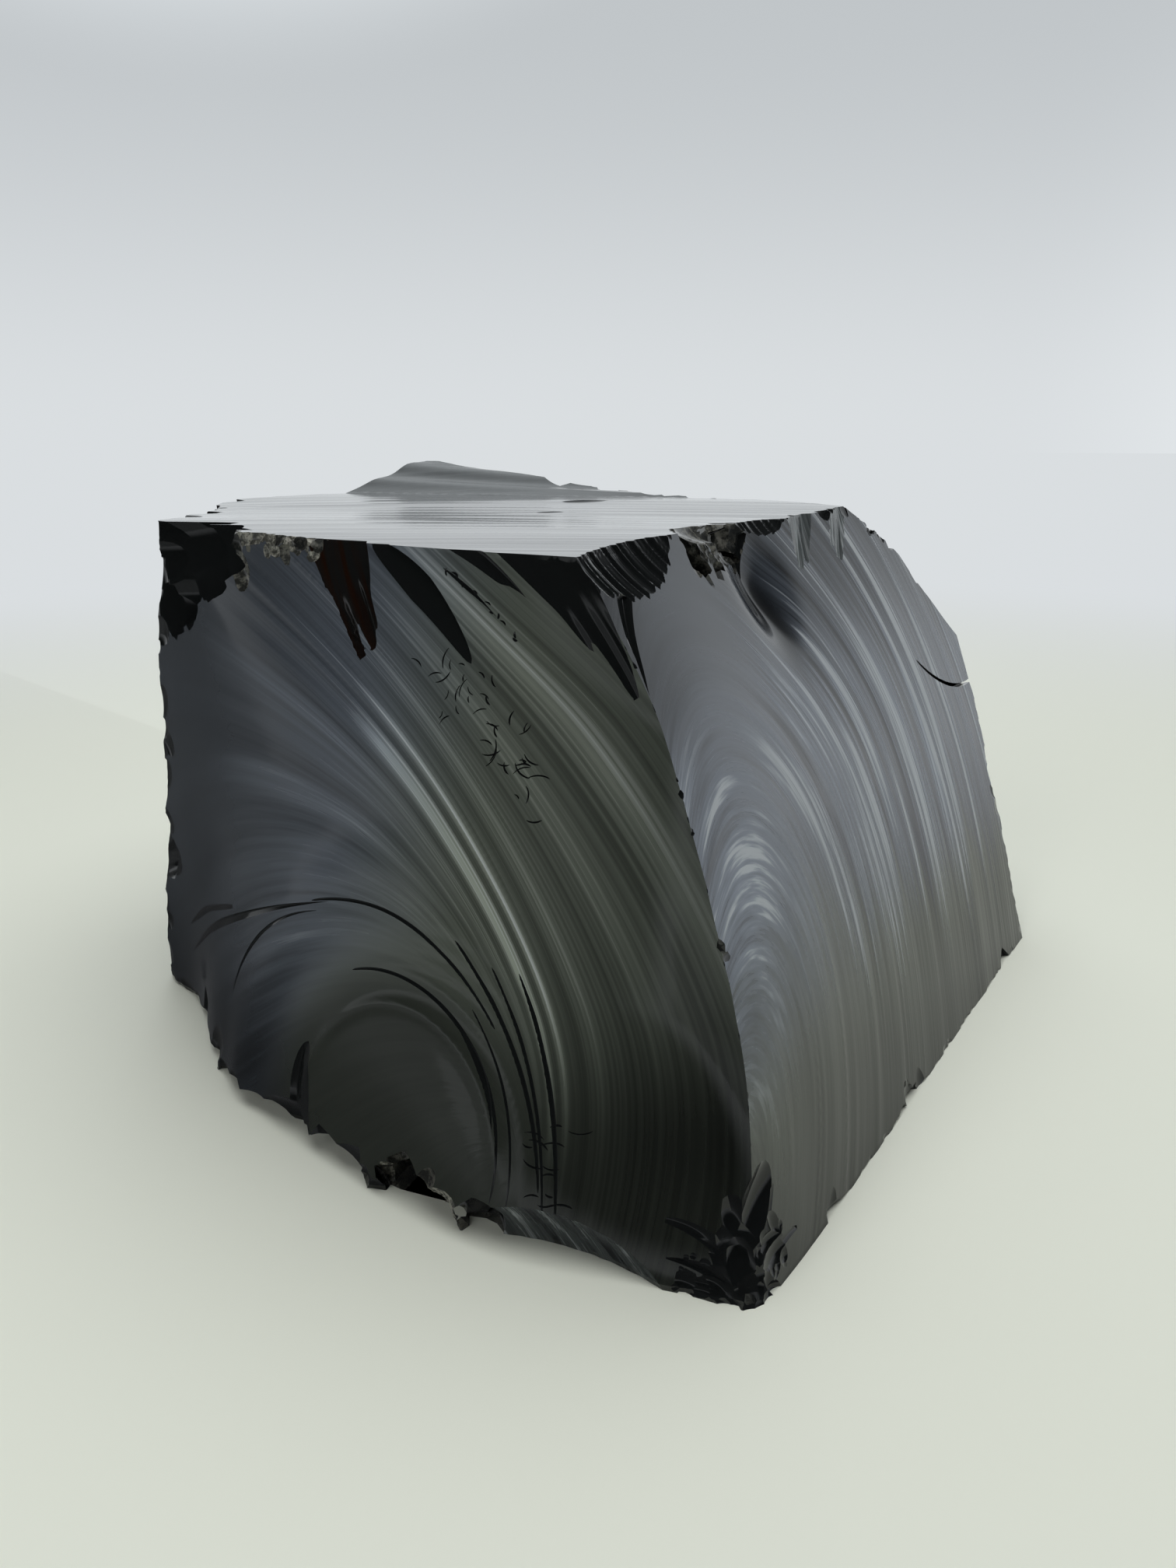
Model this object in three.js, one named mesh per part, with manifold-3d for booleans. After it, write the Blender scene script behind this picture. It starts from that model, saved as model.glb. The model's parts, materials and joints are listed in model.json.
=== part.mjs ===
// A chunk of black obsidian: one solid piece of volcanic glass, broken on every side.
// The stone starts as a plain block, and each fracture face is cut away from it in turn,
// with the swell and the shell-like ripples that glass breaks with. Units are millimetres,
// +Z is up, and the stone stands on its flat underside with its origin at the centre of it.

import * as THREE from 'three';
import { mergeVertices } from 'three/addons/utils/BufferGeometryUtils.js';
import Module from 'manifold-3d';

const wasm = await Module();
wasm.setup();

// ---------------------------------------------------------------- driving dimensions

const WIDTH = 140;              // left base corner to right base corner, across the front
const TOP_HEIGHT = 69;          // the top face above the underside, at its front edge
const TOP_RISE = 0.017;         // slope of the top face towards the back
const BLOCK_SIZE = 150;         // the rough block that the faces are cut from
const BLOCK_HEIGHT = 90;
const CUTTER_REACH = 130;       // half the side of each face cutter
const CUTTER_DEPTH = 100;       // how far each cutter reaches outwards
const GRID = 4.2;               // grid of the two front faces
const COARSE_GRID = 8;          // grid of the faces at the sides and back

// Shape of the left front. s is the distance from the tip, to the left.
const BELLY = { swell: 13, s: 51, reach: 40 };            // bulge along its foot
const HEAD = { swell: 9, from: 28, to: 88 };              // how its upper left stands out
const HOLLOW = { depth: 6.4, s: 5, lean: 0.33, reach: 15 }; // channel beside the ridge
const BULB = { s: 42.2, up: 3.2, rim: 17, reach: 9, ripple: 0.7, wavelength: 10 };
const LEFT_RIPPLE = { height: 0.35, wavelength: 28 };

// Shape of the right front. u is the distance from the tip, to the right.
const RIDGE_SWELL = { swell: 3.8, u: 12, reach: 34 };     // bulge along the ridge
const SHOULDER_HOLLOW = { depth: 2.6, u: 57, reach: 26 }; // dip under the top edge
const RIGHT_RIPPLE = { height: 0.3, wavelength: 13 };

// Shape of the top. The ramp to the peak starts behind a line that runs across the top.
const STEP_POINT = [-49, 58];
const STEP_ACROSS = [0.185, 0.983];
const RAMP = { slope: 0.42, middle: -35, fall: 0.005 };

// Corners of the chunk. The lowest front corner is the tip; the ridge climbs from it.
const UP = new THREE.Vector3(0, 0, 1);
const TIP = new THREE.Vector3(0.088 * WIDTH, -0.486 * WIDTH, 0);
const BASE_LEFT = new THREE.Vector3(-0.5 * WIDTH, 0.041 * WIDTH, 0);
const BASE_RIGHT = new THREE.Vector3(0.492 * WIDTH, 0.148 * WIDTH, 0);
const RIDGE_TOP = new THREE.Vector3(-0.039 * WIDTH, -0.287 * WIDTH, TOP_HEIGHT);
const PEAK = new THREE.Vector3(-0.25 * WIDTH, 0.5 * WIDTH, TOP_HEIGHT + 7.3);

// ---------------------------------------------------------------- curves used by the faces

function bump(x, centre, reach, power = 2) {
  return Math.exp(-Math.pow(Math.abs(x - centre) / reach, power));
}

function wave(x, wavelength) {
  return Math.cos(2 * Math.PI * x / wavelength);
}

function smoothStep(x, start, end) {
  return THREE.MathUtils.smoothstep(x, start, end);
}

// A break spreads from the blow in rounded fronts, one inside the next, whose centre drifts
// as they grow. The result is the size of the front that passes through (u, v).
function frontSize(u, v, { centre, drift, stretch, turn }) {
  const along = (u - centre[0]) * Math.cos(turn) + (v - centre[1]) * Math.sin(turn);
  const across = stretch * ((v - centre[1]) * Math.cos(turn) - (u - centre[0]) * Math.sin(turn));
  const a = 1 - drift[0] ** 2 - drift[1] ** 2;
  const b = along * drift[0] + across * drift[1];
  const c = along ** 2 + across ** 2;
  return (Math.sqrt(b * b + a * c) - b) / a;
}

const LEFT_SWEEP = { centre: [31.9, 3.1], drift: [0.28, -0.75], stretch: 1.16, turn: 0.78 };
const RIGHT_SWEEP = { centre: [-5, 10.8], drift: [0.78, 0.46], stretch: 0.86, turn: -0.11 };

// ---------------------------------------------------------------- fracture faces

// A flat frame for one face: u runs along it, v climbs it, w points out of the stone.
class FaceFrame {
  constructor(origin, along, out) {
    this.origin = origin.clone();
    this.out = out.clone().normalize();
    this.along = along.clone().projectOnPlane(this.out).normalize();
    this.climb = new THREE.Vector3().crossVectors(this.out, this.along);
    this.matrix = new THREE.Matrix4().makeBasis(this.along, this.climb, this.out).setPosition(this.origin);
  }

  point(u, v, w = 0) {
    return new THREE.Vector3(u, v, w).applyMatrix4(this.matrix);
  }

  static through(origin, along, upper) {
    const edge = along.clone().sub(origin);
    const rise = upper.clone().sub(origin);
    return new FaceFrame(origin, edge, new THREE.Vector3().crossVectors(edge, rise));
  }

  static facing(origin, out) {
    return new FaceFrame(origin, new THREE.Vector3().crossVectors(UP, out), out);
  }
}

// The left front face runs from its left base corner to the tip, so that w points forwards.
const leftFace = FaceFrame.through(BASE_LEFT, TIP, RIDGE_TOP);
const LEFT_LENGTH = BASE_LEFT.distanceTo(TIP);
const rightFace = FaceFrame.through(TIP, BASE_RIGHT, RIDGE_TOP);
const topFace = new FaceFrame(RIDGE_TOP, new THREE.Vector3(1, 0, 0), new THREE.Vector3(0, -TOP_RISE, 1));

// Left front: a blow near the middle of its foot left a round bulb with ringed rims, and a
// shallow hollow runs up beside the ridge. s is measured from the tip, to the left.
function leftHeight(u, v) {
  const s = LEFT_LENGTH - u;
  const climb = THREE.MathUtils.clamp(v / TOP_HEIGHT, 0, 1);
  const foot = BELLY.swell * bump(s, BELLY.s, BELLY.reach, 4);
  const head = HEAD.swell * smoothStep(s, HEAD.from, HEAD.to);
  const upTheRidge = smoothStep(v, -5, 25) * (1 - smoothStep(v, 52, 76));
  const hollow = HOLLOW.depth * bump(s, HOLLOW.s + HOLLOW.lean * v, HOLLOW.reach) * upTheRidge;
  const ring = Math.hypot(s - BULB.s, v - BULB.up);
  const rims = BULB.ripple * wave(ring - BULB.rim, BULB.wavelength) * bump(ring, BULB.rim + 4, BULB.reach);
  const sweep = LEFT_RIPPLE.height * wave(frontSize(s, v, LEFT_SWEEP), LEFT_RIPPLE.wavelength);
  return THREE.MathUtils.lerp(foot, head, climb) - hollow + rims + sweep * smoothStep(ring, 26, 40);
}

// Right front: struck at the tip, slightly swollen along the ridge, with nested arched ripples.
function rightHeight(u, v) {
  const climb = THREE.MathUtils.clamp(v / TOP_HEIGHT, 0, 1.08);
  const foot = 0.3 * smoothStep(u, 2, 12) * (1 - smoothStep(u, 45, 100)) * (1 - climb);
  const middle = Math.sin(Math.PI * climb * 0.92);
  const swell = RIDGE_SWELL.swell * bump(u, RIDGE_SWELL.u, RIDGE_SWELL.reach) * middle;
  const dip = SHOULDER_HOLLOW.depth * bump(u, SHOULDER_HOLLOW.u, SHOULDER_HOLLOW.reach);
  const ripples = RIGHT_RIPPLE.height * wave(frontSize(u, v, RIGHT_SWEEP), RIGHT_RIPPLE.wavelength);
  return foot + swell - dip * smoothStep(v, 40, 75) + ripples;
}

// Top: nearly level, with a ramp up to the peak at its rear left.
function topHeight(u, v) {
  const x = u + RIDGE_TOP.x;
  const y = v + RIDGE_TOP.y;
  const behindStep = (x - STEP_POINT[0]) * STEP_ACROSS[0] + (y - STEP_POINT[1]) * STEP_ACROSS[1];
  const slope = Math.max(RAMP.slope - RAMP.fall * (x - RAMP.middle), 0);
  const undulation = 0.35 * Math.sin(y / 9 + x / 40 - 3);
  return Math.max(0, behindStep) * slope + undulation;
}

// The faces at the sides and back: a low dome or dish, rippled in rings about one point.
function rippledDome({ centre, height, reach, ripple, wavelength }) {
  return (u, v) => {
    const distance = Math.hypot(u - centre[0], v - centre[1]);
    return height * bump(distance, 0, reach) + ripple * Math.sin(distance / wavelength);
  };
}

const sideFaces = [
  // left side
  { frame: FaceFrame.facing(BASE_LEFT, new THREE.Vector3(-0.992, -0.069, 0.104)),
    height: rippledDome({ centre: [-20, 35], height: -2, reach: 30, ripple: 0.5, wavelength: 3.5 }) },
  // rear left, under the peak
  { frame: FaceFrame.facing(new THREE.Vector3(-46.3, 59.5, 70), new THREE.Vector3(-0.65, 0.76, 0)),
    height: rippledDome({ centre: [0, -30], height: 1, reach: 30, ripple: 0.4, wavelength: 3 }) },
  // back
  { frame: FaceFrame.facing(PEAK, new THREE.Vector3(0.226, 0.974, 0.03)),
    height: rippledDome({ centre: [-50, -40], height: -2.5, reach: 40, ripple: 0.6, wavelength: 4 }) },
  // bevel behind the top
  { frame: FaceFrame.facing(new THREE.Vector3(13, 47, 72.2), new THREE.Vector3(0.37, 0.56, 0.74)),
    height: rippledDome({ centre: [0, 30], height: -1, reach: 30, ripple: 0.3, wavelength: 3 }) },
  // right shoulder
  { frame: FaceFrame.facing(new THREE.Vector3(35.6, 21.6, 71.2), new THREE.Vector3(0.475, 0.269, 0.837)),
    height: rippledDome({ centre: [4, -23], height: 2.4, reach: 20, ripple: 0.2, wavelength: 3 }) },
  // rear right
  { frame: FaceFrame.facing(BASE_RIGHT, new THREE.Vector3(0.85, 0.5, -0.2)),
    height: rippledDome({ centre: [-30, 20], height: 1, reach: 30, ripple: 0.5, wavelength: 3.5 }) },
];

// ---------------------------------------------------------------- solids

function solidOf(geometry) {
  const bare = geometry.clone();
  bare.deleteAttribute('normal');
  bare.deleteAttribute('uv');
  const welded = mergeVertices(bare, 1e-5);
  return new wasm.Manifold(new wasm.Mesh({
    numProp: 3,
    vertProperties: new Float32Array(welded.attributes.position.array),
    triVerts: new Uint32Array(welded.index.array),
  }));
}

function geometryOf(solid) {
  const mesh = solid.getMesh();
  const geometry = new THREE.BufferGeometry();
  geometry.setAttribute('position', new THREE.BufferAttribute(mesh.vertProperties, 3));
  geometry.setIndex(new THREE.BufferAttribute(mesh.triVerts, 1));
  return geometry;
}

// A thick slab whose inner side has the shape of the face; cutting it away leaves that face.
function faceCutter({ frame, height, grid = COARSE_GRID }) {
  const side = 2 * CUTTER_REACH;
  const steps = Math.round(side / grid);
  const geometry = new THREE.BoxGeometry(side, side, 1, steps, steps, 1);
  const place = geometry.attributes.position;
  for (let i = 0; i < place.count; i += 1) {
    const w = place.getZ(i) > 0 ? CUTTER_DEPTH : height(place.getX(i), place.getY(i));
    place.setZ(i, w);
  }
  geometry.applyMatrix4(frame.matrix);
  return solidOf(geometry);
}

// A flake scar: the bowl that a struck flake leaves, long along its own direction.
function scarCutter({ at, out, along, length, width, depth }) {
  const rim = 2.2;
  const rings = 6;
  const sides = 20;
  const clearance = 12;
  const profile = [];
  for (let i = 0; i <= rings; i += 1) {
    const r = rim * i / rings;
    profile.push(new THREE.Vector2(r, r * r - 1));
  }
  profile.push(new THREE.Vector2(rim, rim * rim + clearance / depth));
  profile.push(new THREE.Vector2(0, rim * rim + clearance / depth));
  const geometry = new THREE.LatheGeometry(profile, sides);
  geometry.rotateX(Math.PI / 2);
  geometry.scale(length / 2, width / 2, depth);
  geometry.applyMatrix4(new FaceFrame(at, along, out).matrix);
  return solidOf(geometry);
}

// ---------------------------------------------------------------- flake scars on the edges

const leftOut = leftFace.out;
const rightOut = rightFace.out;

function onLeft(s, v, w = leftHeight(LEFT_LENGTH - s, v)) {
  return leftFace.point(LEFT_LENGTH - s, v, w);
}

function onRight(u, v, w = rightHeight(u, v)) {
  return rightFace.point(u, v, w);
}

function between(a, b, share) {
  return a.clone().lerp(b, share).normalize();
}

const BEVEL_OUT = new THREE.Vector3(-0.44, -0.73, -0.52);

const scars = [
  // chips along the top of the left front face
  { at: onLeft(92, 66), out: between(leftOut, UP, 0.3), along: leftFace.along, length: 20, width: 18, depth: 2.2 },
  { at: onLeft(72, 68), out: between(leftOut, UP, 0.5), along: leftFace.along, length: 22, width: 7, depth: 1.8 },
  { at: onLeft(60, 62), out: between(leftOut, UP, 0.2), along: leftFace.climb, length: 15, width: 9, depth: 1.4 },
  { at: onLeft(48, 64), out: between(leftOut, UP, 0.25),
    along: leftFace.climb.clone().addScaledVector(leftFace.along, -0.9), length: 19, width: 8, depth: 1.3 },
  { at: onLeft(32, 65), out: between(leftOut, UP, 0.25),
    along: leftFace.climb.clone().addScaledVector(leftFace.along, -1.1), length: 27, width: 8, depth: 1.8 },
  // the ribbed fan and the notch at the top of the right front face
  { at: onRight(27, 73), out: between(rightOut, UP, 0.25), along: rightFace.along, length: 26, width: 12, depth: 2.4 },
  { at: onRight(46, 75), out: between(rightOut, UP, 0.4), along: rightFace.along, length: 14, width: 9, depth: 3.2 },
  { at: onRight(58, 75), out: between(rightOut, UP, 0.3), along: rightFace.climb, length: 22, width: 14, depth: 3.4 },
  { at: onRight(76, 75), out: between(rightOut, UP, 0.3), along: rightFace.climb, length: 20, width: 18, depth: 2.6 },
  // the blunt, crushed tip and the bevel beside it, under the left front face
  { at: TIP.clone().add(new THREE.Vector3(-1, -1, 3)), out: new THREE.Vector3(0.1, -0.95, -0.12),
    along: UP, length: 12, width: 10, depth: 0.9 },
  { at: onLeft(12, 1.5).addScaledVector(BEVEL_OUT, 2.2), out: BEVEL_OUT, along: leftFace.along,
    length: 36, width: 17, depth: 3.1 },
  { at: onLeft(88, 5), out: new THREE.Vector3(-0.8, -0.5, -0.2), along: leftFace.climb,
    length: 12, width: 8, depth: 0.5 },
  // broad flakes struck off the back
  { at: new THREE.Vector3(52, 50, 20), out: new THREE.Vector3(0.5, 0.86, -0.1), along: UP,
    length: 62, width: 44, depth: 5 },
  { at: new THREE.Vector3(-10, 66, 72), out: new THREE.Vector3(0.2, 0.9, 0.35), along: UP,
    length: 40, width: 46, depth: 4 },
  { at: new THREE.Vector3(-70, 32, 8), out: new THREE.Vector3(-0.97, -0.1, -0.2), along: UP,
    length: 50, width: 38, depth: 3.5 },
  { at: new THREE.Vector3(-56, 52, 30), out: new THREE.Vector3(-0.75, 0.65, 0.05), along: UP,
    length: 44, width: 22, depth: 3 },
];

// ---------------------------------------------------------------- the chunk

// Where cuts meet at a thin edge they can set a splinter free; only the stone itself is kept.
function withoutSplinters(solid) {
  const bodies = solid.decompose();
  return bodies.reduce((largest, body) => (body.volume() > largest.volume() ? body : largest));
}

function carveChunk() {
  const block = new THREE.BoxGeometry(BLOCK_SIZE, BLOCK_SIZE, BLOCK_HEIGHT);
  block.translate(0, 0, BLOCK_HEIGHT / 2);
  let solid = solidOf(block);
  const faces = [
    { frame: leftFace, height: leftHeight, grid: GRID },
    { frame: rightFace, height: rightHeight, grid: GRID },
    { frame: topFace, height: topHeight, grid: GRID },
    ...sideFaces,
  ];
  for (const face of faces) {
    solid = solid.subtract(faceCutter(face));
  }
  for (const scar of scars) {
    solid = solid.subtract(scarCutter(scar));
  }
  const geometry = geometryOf(withoutSplinters(solid));
  geometry.computeBoundingBox();
  const centre = geometry.boundingBox.getCenter(new THREE.Vector3());
  geometry.translate(-centre.x, -centre.y, -geometry.boundingBox.min.z);
  geometry.computeVertexNormals();
  return geometry;
}

const obsidian = new THREE.MeshStandardMaterial({ color: 0x0c0e10, roughness: 0.12, metalness: 0 });

const group = new THREE.Group();
const chunk = new THREE.Mesh(carveChunk(), obsidian);
chunk.name = 'obsidian_chunk';
group.add(chunk);

export default group;
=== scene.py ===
"""Looks of the obsidian chunk: black volcanic glass, broken on every side.

The stone is cut from a block, the way it broke. Every fracture face and every flake scar is a
height over its own plane, cut away in turn, and the same heights give the exact normals of the
finished surface. Lengths are in millimetres until the stone is fitted to the frame.
"""

import json
import math

import bmesh
import bpy
import numpy as np
from mathutils import Matrix, Vector

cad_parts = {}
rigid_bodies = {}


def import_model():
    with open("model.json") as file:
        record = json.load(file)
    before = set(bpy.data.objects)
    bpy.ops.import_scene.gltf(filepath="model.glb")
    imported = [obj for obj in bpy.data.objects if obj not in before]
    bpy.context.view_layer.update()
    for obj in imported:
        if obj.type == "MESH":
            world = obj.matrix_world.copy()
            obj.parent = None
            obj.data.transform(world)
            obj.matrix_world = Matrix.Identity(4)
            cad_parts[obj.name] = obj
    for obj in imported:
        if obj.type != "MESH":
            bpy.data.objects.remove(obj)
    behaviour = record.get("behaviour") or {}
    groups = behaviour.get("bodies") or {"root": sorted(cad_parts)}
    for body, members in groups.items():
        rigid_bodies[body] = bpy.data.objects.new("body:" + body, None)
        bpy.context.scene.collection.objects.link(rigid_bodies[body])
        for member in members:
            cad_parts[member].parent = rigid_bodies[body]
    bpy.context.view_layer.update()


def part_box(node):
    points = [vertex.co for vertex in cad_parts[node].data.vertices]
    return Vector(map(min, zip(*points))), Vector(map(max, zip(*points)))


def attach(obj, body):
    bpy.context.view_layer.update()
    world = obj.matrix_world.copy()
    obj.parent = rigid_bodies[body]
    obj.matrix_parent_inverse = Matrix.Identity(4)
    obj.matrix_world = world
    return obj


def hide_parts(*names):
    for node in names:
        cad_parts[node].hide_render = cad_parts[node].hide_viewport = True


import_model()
NODE = "obsidian_chunk"
BOX_LOW, BOX_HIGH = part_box(NODE)

# ---- driving dimensions

WIDTH = 140.0          # left base corner to right base corner
TOP_HEIGHT = 69.0      # top face above the underside, at its front edge
TOP_RISE = 0.017       # slope of the top face towards the back
BLOCK = (150.0, 150.0, 90.0)
CUT_REACH = 130.0      # half the side of each face cutter
CUT_DEPTH = 100.0      # how far each face cutter reaches outwards
COARSE = 10.0          # grid of a cutter away from the stone
SCAR_RIM = 1.9         # how far a scar's cutter reaches, in half lengths of the scar
STRIP_RIM = 1.6        # how far a strip's cutter reaches, in half widths of the strip
SLOPE_STEP = 0.03      # spacing for the slopes that give the normals
GRAIN_APART = 7.3      # keeps the streaks of one break unlike those of the next

UP = np.array([0.0, 0.0, 1.0])
TIP = np.array([0.088 * WIDTH, -0.486 * WIDTH, 0.0])
BASE_LEFT = np.array([-0.5 * WIDTH, 0.041 * WIDTH, 0.0])
BASE_RIGHT = np.array([0.492 * WIDTH, 0.148 * WIDTH, 0.0])
RIDGE_TOP = np.array([-0.039 * WIDTH, -0.287 * WIDTH, TOP_HEIGHT])
PEAK = np.array([-0.25 * WIDTH, 0.5 * WIDTH, TOP_HEIGHT + 7.3])
SIDE_OUT = (-0.992, -0.069, 0.104)
REAR_OUT = (0.85, 0.5, -0.2)


# ---- curves

def unit(vector):
    return np.asarray(vector, float) / np.linalg.norm(vector)


def smooth(x, start, end):
    t = np.clip((x - start) / (end - start), 0, 1)
    return t * t * (3 - 2 * t)


def bump(x, centre, reach, power=2):
    return np.exp(-np.abs((x - centre) / reach) ** power)


def wander(x, y, size, seed, waves=8):
    """Smooth noise, mostly between -1 and 1: a few crossing waves of roughly one size."""
    dice = np.random.default_rng(seed)
    total = 0.0
    for _ in range(waves):
        turn, phase = dice.uniform(0, 2 * math.pi, 2)
        length = size * dice.uniform(0.6, 1.7)
        along = x * math.cos(turn) + y * math.sin(turn)
        total = total + np.sin(along * 2 * math.pi / length + phase)
    return total / math.sqrt(waves)


class Sweep:
    """The rounded fronts that a break spreads in: one inside the next, their centre drifting."""

    def __init__(self, centre, drift, stretch, turn, bend):
        self.centre, self.drift = centre, drift
        self.stretch, self.bend = stretch, bend
        self.cos, self.sin = math.cos(turn), math.sin(turn)

    def at(self, u, v):
        """Size of the front through (u, v), and the angle round that front."""
        dv = v - self.centre[1]
        du = u - self.centre[0] + self.bend * dv ** 2
        along = du * self.cos + dv * self.sin
        across = self.stretch * (dv * self.cos - du * self.sin)
        a = 1 - self.drift[0] ** 2 - self.drift[1] ** 2
        b = along * self.drift[0] + across * self.drift[1]
        size = (np.sqrt(b * b + a * (along ** 2 + across ** 2)) - b) / a
        angle = np.arctan2(across - size * self.drift[1], along - size * self.drift[0])
        return size, angle


LEFT_SWEEP = Sweep((25.17, 7.59), (0.391, -0.904), 0.478, 0.681, -0.01125)
RIGHT_SWEEP = Sweep((-8.99, 4.6), (0.547, 0.021), 0.3, -0.711, 0.0069)


def arcs(size, angle, first, last, spacing, width, height, seed):
    """Ripples left along the fronts, each on a part of its front, at uneven sizes."""
    dice = np.random.default_rng(seed)
    total = 0.0
    at = first
    while at < last:
        middle, half = dice.uniform(-math.pi, math.pi), dice.uniform(0.6, 2.2)
        apart = np.abs((angle - middle + math.pi) % (2 * math.pi) - math.pi)
        strength = height * dice.uniform(0.3, 1.0) * (1 - smooth(apart, half * 0.6, half))
        total = total + strength * bump(size, at, width * dice.uniform(0.7, 1.5))
        at += spacing * dice.uniform(0.5, 1.5)
    return total


# ---- planes of the faces

class Plane:
    """A frame on a face: u runs along it, v climbs it, w points out of the stone."""

    def __init__(self, origin, along, out):
        self.origin = np.asarray(origin, float)
        self.out = unit(out)
        self.along = unit(along - np.dot(along, self.out) * self.out)
        self.climb = np.cross(self.out, self.along)
        self.basis = np.array([self.along, self.climb, self.out])

    def point(self, u, v, w=0.0):
        return self.origin + np.stack(np.broadcast_arrays(u, v, w), -1) @ self.basis

    def local(self, points):
        return (points - self.origin) @ self.basis.T


def plane_through(origin, along, upper):
    return Plane(origin, along - origin, np.cross(along - origin, upper - origin))


def plane_facing(origin, out):
    out = np.asarray(out, float)
    return Plane(origin, np.cross(UP, out), out)


LEFT = plane_through(BASE_LEFT, TIP, RIDGE_TOP)
RIGHT = plane_through(TIP, BASE_RIGHT, RIDGE_TOP)
TOP = Plane(RIDGE_TOP, np.array([1.0, 0, 0]), np.array([0, -TOP_RISE, 1.0]))
LEFT_LENGTH = float(np.linalg.norm(BASE_LEFT - TIP))


# ---- heights of the faces

DISC = (42.2, 3.2)     # middle of the bulb on the left front: from the tip, and up
DISC_SIZE = 15.8


def disc_ring(s, v):
    """Distance from the middle of the bulb, in rings slightly longer upwards."""
    ds, dv = s - DISC[0], v - DISC[1]
    return np.hypot(ds, dv) * (1 + 0.03 * np.cos(2 * (np.arctan2(dv, ds) - 0.1)))


def left_height(u, v):
    """Left front: a ringed bulb at the middle of its foot, a hollow beside the ridge."""
    s = LEFT_LENGTH - u
    climb = np.clip(v / TOP_HEIGHT, 0, 1)
    foot = 13 * bump(s, 51, 40, 4)
    head = 9 * smooth(s, 28, 88)
    hollow = 6.4 * bump(s, 5 + 0.33 * v, 15) * smooth(v, -5, 25) * (1 - smooth(v, 52, 76))
    ring = disc_ring(s, v)
    right_side = smooth(s, 56, 34)
    rim = 0.17 * bump(ring, DISC_SIZE, 0.9) * smooth(v, 4, 10)
    for step, share in enumerate((1.0, 0.8, 0.9, 0.6)):
        rim = rim + 0.13 * share * right_side * bump(ring, DISC_SIZE + 3.4 + 2.0 * step, 0.8)
    rolls = 0.45 * bump(ring, 29.5, 3.6) - 0.4 * bump(ring, 24.5, 3.0) - 0.3 * bump(ring, 36, 4)
    rolls = rolls * smooth(s, 40, 62)
    size, angle = LEFT_SWEEP.at(s, v)
    log_size = 30 * np.log(np.maximum(size, 1))
    outside = smooth(ring, 24, 34)
    rough_side = smooth(s, 84, 55)
    fine = arcs(log_size, angle, 104, 225, 4.0, 1.1, 0.035, 11) * rough_side
    broad = arcs(log_size, angle, 106, 225, 8.5, 3.4, 0.11, 12)
    return foot + (head - foot) * climb - hollow + rim + rolls + outside * (fine + broad)


def right_height(u, v):
    """Right front: struck at the tip, slightly swollen along the ridge, with nested arches."""
    climb = np.clip(v / TOP_HEIGHT, 0, 1.08)
    foot = 0.3 * smooth(u, 2, 12) * (1 - smooth(u, 45, 100)) * (1 - climb)
    swell = foot + 3.8 * bump(u, 12, 34) * np.sin(math.pi * climb * 0.92)
    shoulder = 2.6 * bump(u, 57, 26) * smooth(v, 40, 75)
    dark_dent = 2.6 * bump(np.hypot((u - 59) / 0.7, v - 69.5), 0, 8)
    size, angle = RIGHT_SWEEP.at(u, v)
    near = 1 - smooth(u, 40, 62)
    below = 1 - smooth(v, 50, 66)
    fine = arcs(size, angle, 9, 62, 0.9, 0.34, 0.045, 21) * (0.2 + 0.8 * near) * (0.1 + 0.9 * below)
    broad = arcs(size, angle, 8, 62, 3.6, 1.5, 0.13, 22)
    return swell - shoulder - dark_dent + fine + broad


def top_front(x, y):
    """Which front of the top's break runs through a place, counted from the front back."""
    return y + 0.12 * x + 0.002 * x * x


def top_height(u, v):
    """Top: nearly level, with a ramp up to the peak at its rear left."""
    x, y = u + RIDGE_TOP[0], v + RIDGE_TOP[1]
    behind_step = (x + 49) * 0.185 + (y - 58) * 0.983
    ramp = np.maximum(0, behind_step) * np.maximum(0.42 - 0.005 * (x + 35), 0)
    wave = 0.3 * np.sin(y / 9 + x / 40 - 3)
    front = top_front(x, y)
    bands = arcs(front, x / 25, -50, 130, 5.0, 1.7, 0.10, 31)
    bands = bands + arcs(front, x / 25, -50, 130, 2.4, 0.8, 0.045, 32)
    on_ramp = 0.25 * np.sin(behind_step * 0.9 + 0.05 * x) * smooth(behind_step, 0, 6)
    return ramp + wave + bands + on_ramp


def rippled_dome(centre, height, reach, struck, ripple, wavelength):
    """A low dome or dish, rippled in rings about the point where it was struck."""
    def surface(u, v):
        from_blow = np.hypot(u - struck[0], v - struck[1])
        uneven = 1 + 0.12 * wander(u, v, 40, 41)
        rings = ripple * np.sin(from_blow * uneven / wavelength) * (0.5 + 0.5 * wander(u, v, 60, 43))
        dome = height * bump(np.hypot(u - centre[0], v - centre[1]), 0, reach)
        return dome + rings + 0.5 * wander(u, v, 45, 42)
    return surface


# ---- grain, and the finish with its painted sheen, of the faces
#
# grain: across the fronts of the break, and along them. Streaks follow the second.
# finish: how much sheen is painted into the colour, how streaked, and its tint from olive (0) to
# violet (1).

def left_grain(u, v):
    size, angle = LEFT_SWEEP.at(LEFT_LENGTH - u, v)
    return 12 * np.log(np.maximum(size, 1)), angle * 6


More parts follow.
